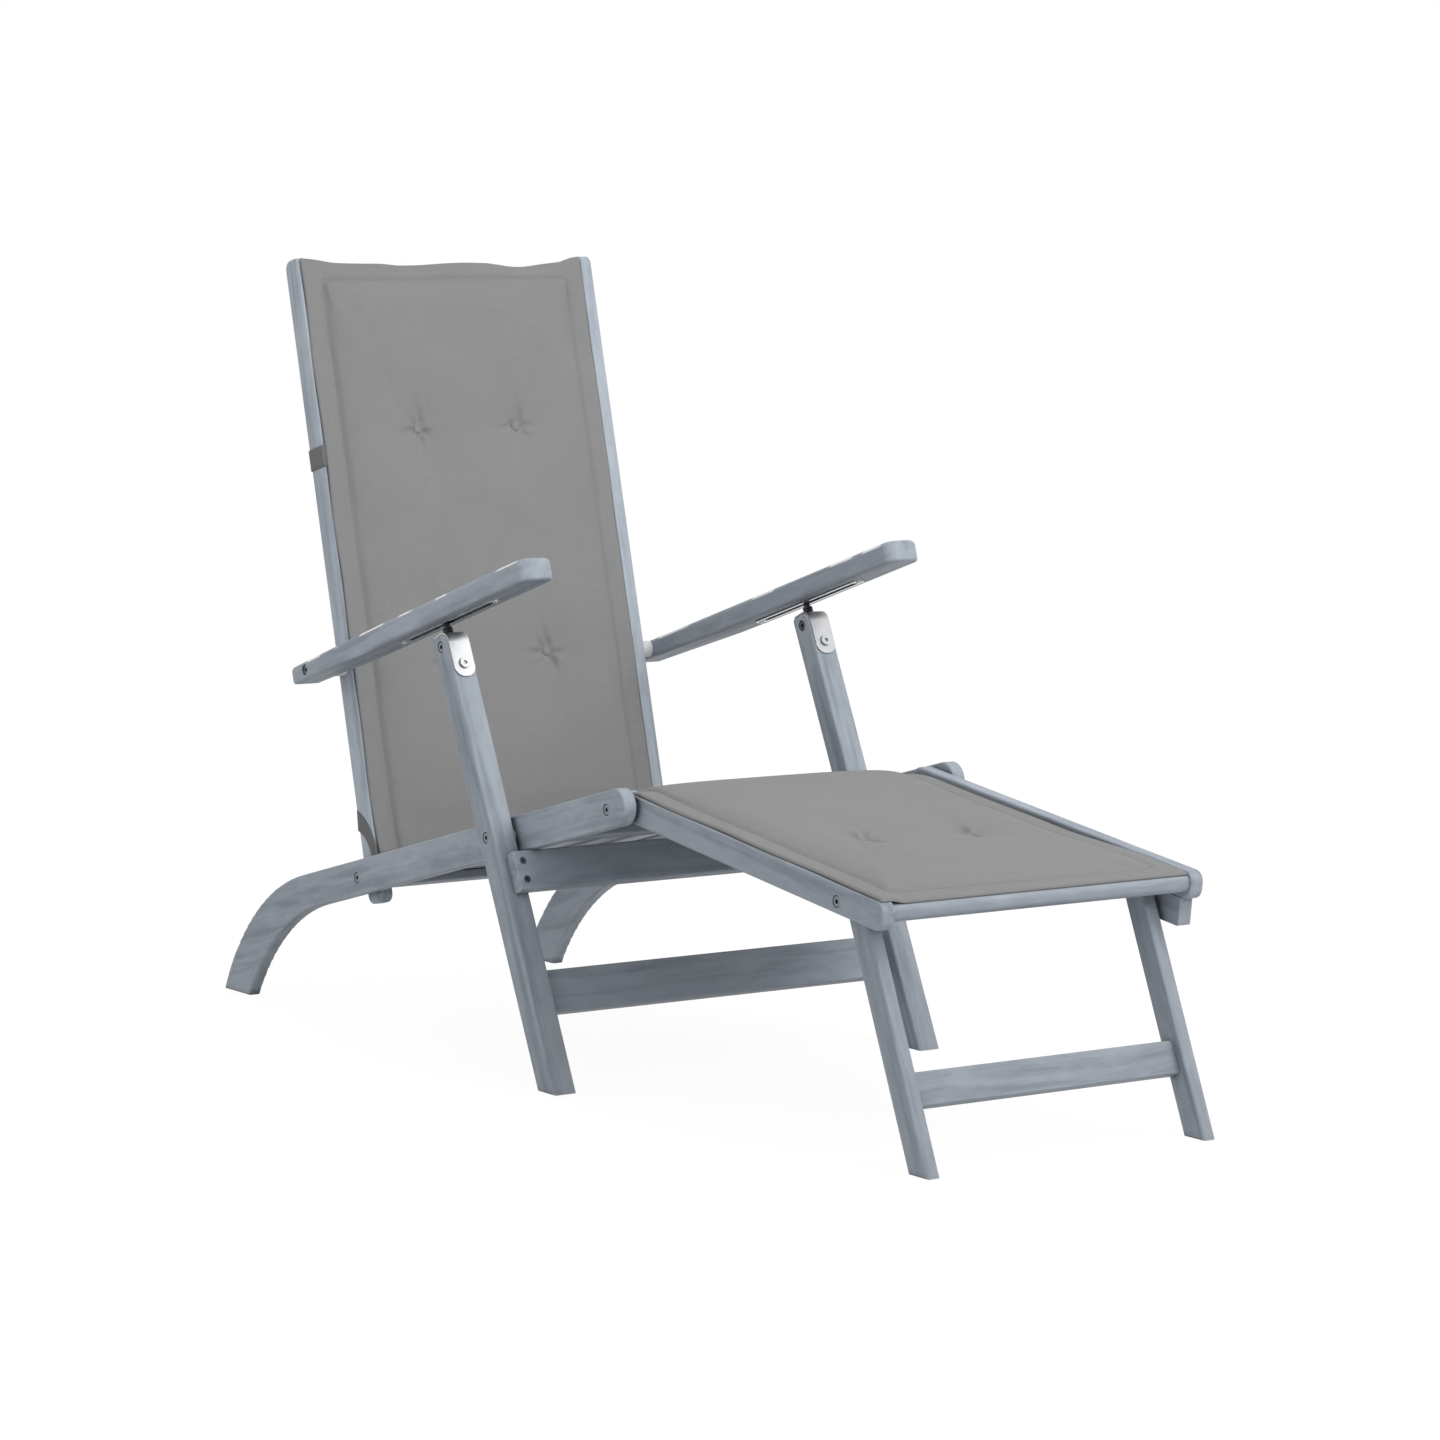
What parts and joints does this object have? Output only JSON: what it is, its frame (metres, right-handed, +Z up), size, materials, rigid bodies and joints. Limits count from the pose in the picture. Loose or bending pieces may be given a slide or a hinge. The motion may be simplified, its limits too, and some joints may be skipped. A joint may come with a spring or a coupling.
{
  "type": "folding chaise lounge",
  "caption": "Folding wooden deck chair with a slatted back, seat and footrest, sloping armrests on slotted tracks, curved rear legs and one long tufted cushion.",
  "frame": {"origin": "on the floor, at the middle of the chair's length and width in the pose of the picture", "axes": "+X runs from the back to the feet, +Y to the sitter's left, +Z up"},
  "size_m": [1.5686, 0.593, 0.9974],
  "materials": {
    "wood": "grey-washed, satin",
    "steel": "brushed",
    "dark_steel": "dark, semi-gloss",
    "nylon": "matt",
    "cushion_cloth": "plain weave",
    "strap_webbing": "elastic webbing"
  },
  "bodies": {
    "seat": {"seat_rail_right": "wood", "seat_rail_left": "wood", "seat_rear_bar": "wood", "seat_front_bar": "wood", "seat_slat_1": "wood", "seat_slat_2": "wood", "seat_slat_3": "wood", "seat_slat_4": "wood", "seat_slat_5": "wood", "seat_slat_6": "wood", "seat_slat_7": "wood", "seat_slat_8": "wood", "leg_pivot_bolts": "steel", "footrest_pivot_bolts": "steel", "pivot_washers": "nylon", "seat_pad": "cushion_cloth"},
    "back_hinge": {"back_pivot_bolts": "steel"},
    "back": {"back_stile_right": "wood", "back_stile_left": "wood", "back_bottom_rail": "wood", "back_top_rail": "wood", "back_slat_1": "wood", "back_slat_2": "wood", "back_slat_3": "wood", "back_slat_4": "wood", "back_slat_5": "wood", "back_slat_6": "wood", "back_slat_7": "wood", "back_pad": "cushion_cloth", "back_straps": "strap_webbing", "arm_spacers": "nylon"},
    "arm_hinge_right": {"arm_bolt_right": "steel"},
    "arm_hinge_left": {"arm_bolt_left": "steel"},
    "arm_right": {"arm_right": "wood", "arm_track_right": "steel", "arm_track_screws_right": "steel"},
    "arm_left": {"arm_left": "wood", "arm_track_left": "steel", "arm_track_screws_left": "steel"},
    "front_legs": {"front_leg_right": "wood", "front_leg_left": "wood", "apron": "wood", "leg_stretcher": "wood", "leg_caps": "steel", "leg_pins": "dark_steel", "apron_screws": "steel", "cap_screws": "steel", "cap_cross_bolts": "steel"},
    "footrest": {"footrest_rail_right": "wood", "footrest_rail_left": "wood", "footrest_rear_bar": "wood", "footrest_front_bar": "wood", "footrest_slats": "wood", "footrest_leg_bolts": "steel", "footrest_leg_washers": "nylon", "stop_block": "wood", "foot_pad": "cushion_cloth"},
    "footrest_legs": {"footrest_leg_right": "wood", "footrest_leg_left": "wood", "footrest_stretcher": "wood"}
  },
  "joints": [
    {"name": "back_fold", "type": "hinge", "parent": "seat", "child": "back_hinge", "pos_m": [-0.41132, 0, 0.1974], "axis": [0, -1, 0], "range_deg": [-74, 0], "deforming": ["back_pad", "seat_pad"]},
    {"name": "back_recline", "type": "hinge", "parent": "back_hinge", "child": "back", "pos_m": [-0.41132, 0, 0.1974], "axis": [0, -1, 0], "range_deg": [0, 23], "deforming": ["back_pad", "seat_pad"]},
    {"name": "leg_fold", "type": "hinge", "parent": "seat", "child": "front_legs", "pos_m": [-0.02112, 0, 0.29614], "axis": [0, -1, 0], "range_deg": [-87.2, 0]},
    {"name": "footrest_fold", "type": "hinge", "parent": "seat", "child": "footrest", "pos_m": [0.1972, 0, 0.35138], "axis": [0, -1, 0], "range_deg": [-98, 0], "deforming": ["foot_pad", "seat_pad"]},
    {"name": "footrest_leg_fold", "type": "hinge", "parent": "footrest", "child": "footrest_legs", "pos_m": [0.641, 0, 0.29396], "axis": [0, -1, 0], "range_deg": [-114, 0]},
    {"name": "arm_fold_right", "type": "hinge", "parent": "back", "child": "arm_hinge_right", "pos_m": [-0.48166, 0, 0.46532], "axis": [0, -1, 0], "range_deg": [0, 81]},
    {"name": "arm_swing_right", "type": "hinge", "parent": "arm_hinge_right", "child": "arm_right", "pos_m": [-0.48166, 0, 0.46532], "axis": [0, -1, 0], "range_deg": [-21.2, 0]},
    {"name": "arm_fold_left", "type": "hinge", "parent": "back", "child": "arm_hinge_left", "pos_m": [-0.48166, 0, 0.46532], "axis": [0, -1, 0], "range_deg": [0, 81]},
    {"name": "arm_swing_left", "type": "hinge", "parent": "arm_hinge_left", "child": "arm_left", "pos_m": [-0.48166, 0, 0.46532], "axis": [0, -1, 0], "range_deg": [-21.2, 0]}
  ],
  "couplings": [
    {"joint": "leg_fold", "follows": "back_fold", "ratio": 1.176},
    {"joint": "arm_fold_right", "follows": "back_fold", "ratio": -1.09},
    {"joint": "arm_swing_right", "follows": "back_recline", "ratio": -0.915},
    {"joint": "arm_fold_left", "follows": "back_fold", "ratio": -1.09},
    {"joint": "arm_swing_left", "follows": "back_recline", "ratio": -0.915}
  ]
}
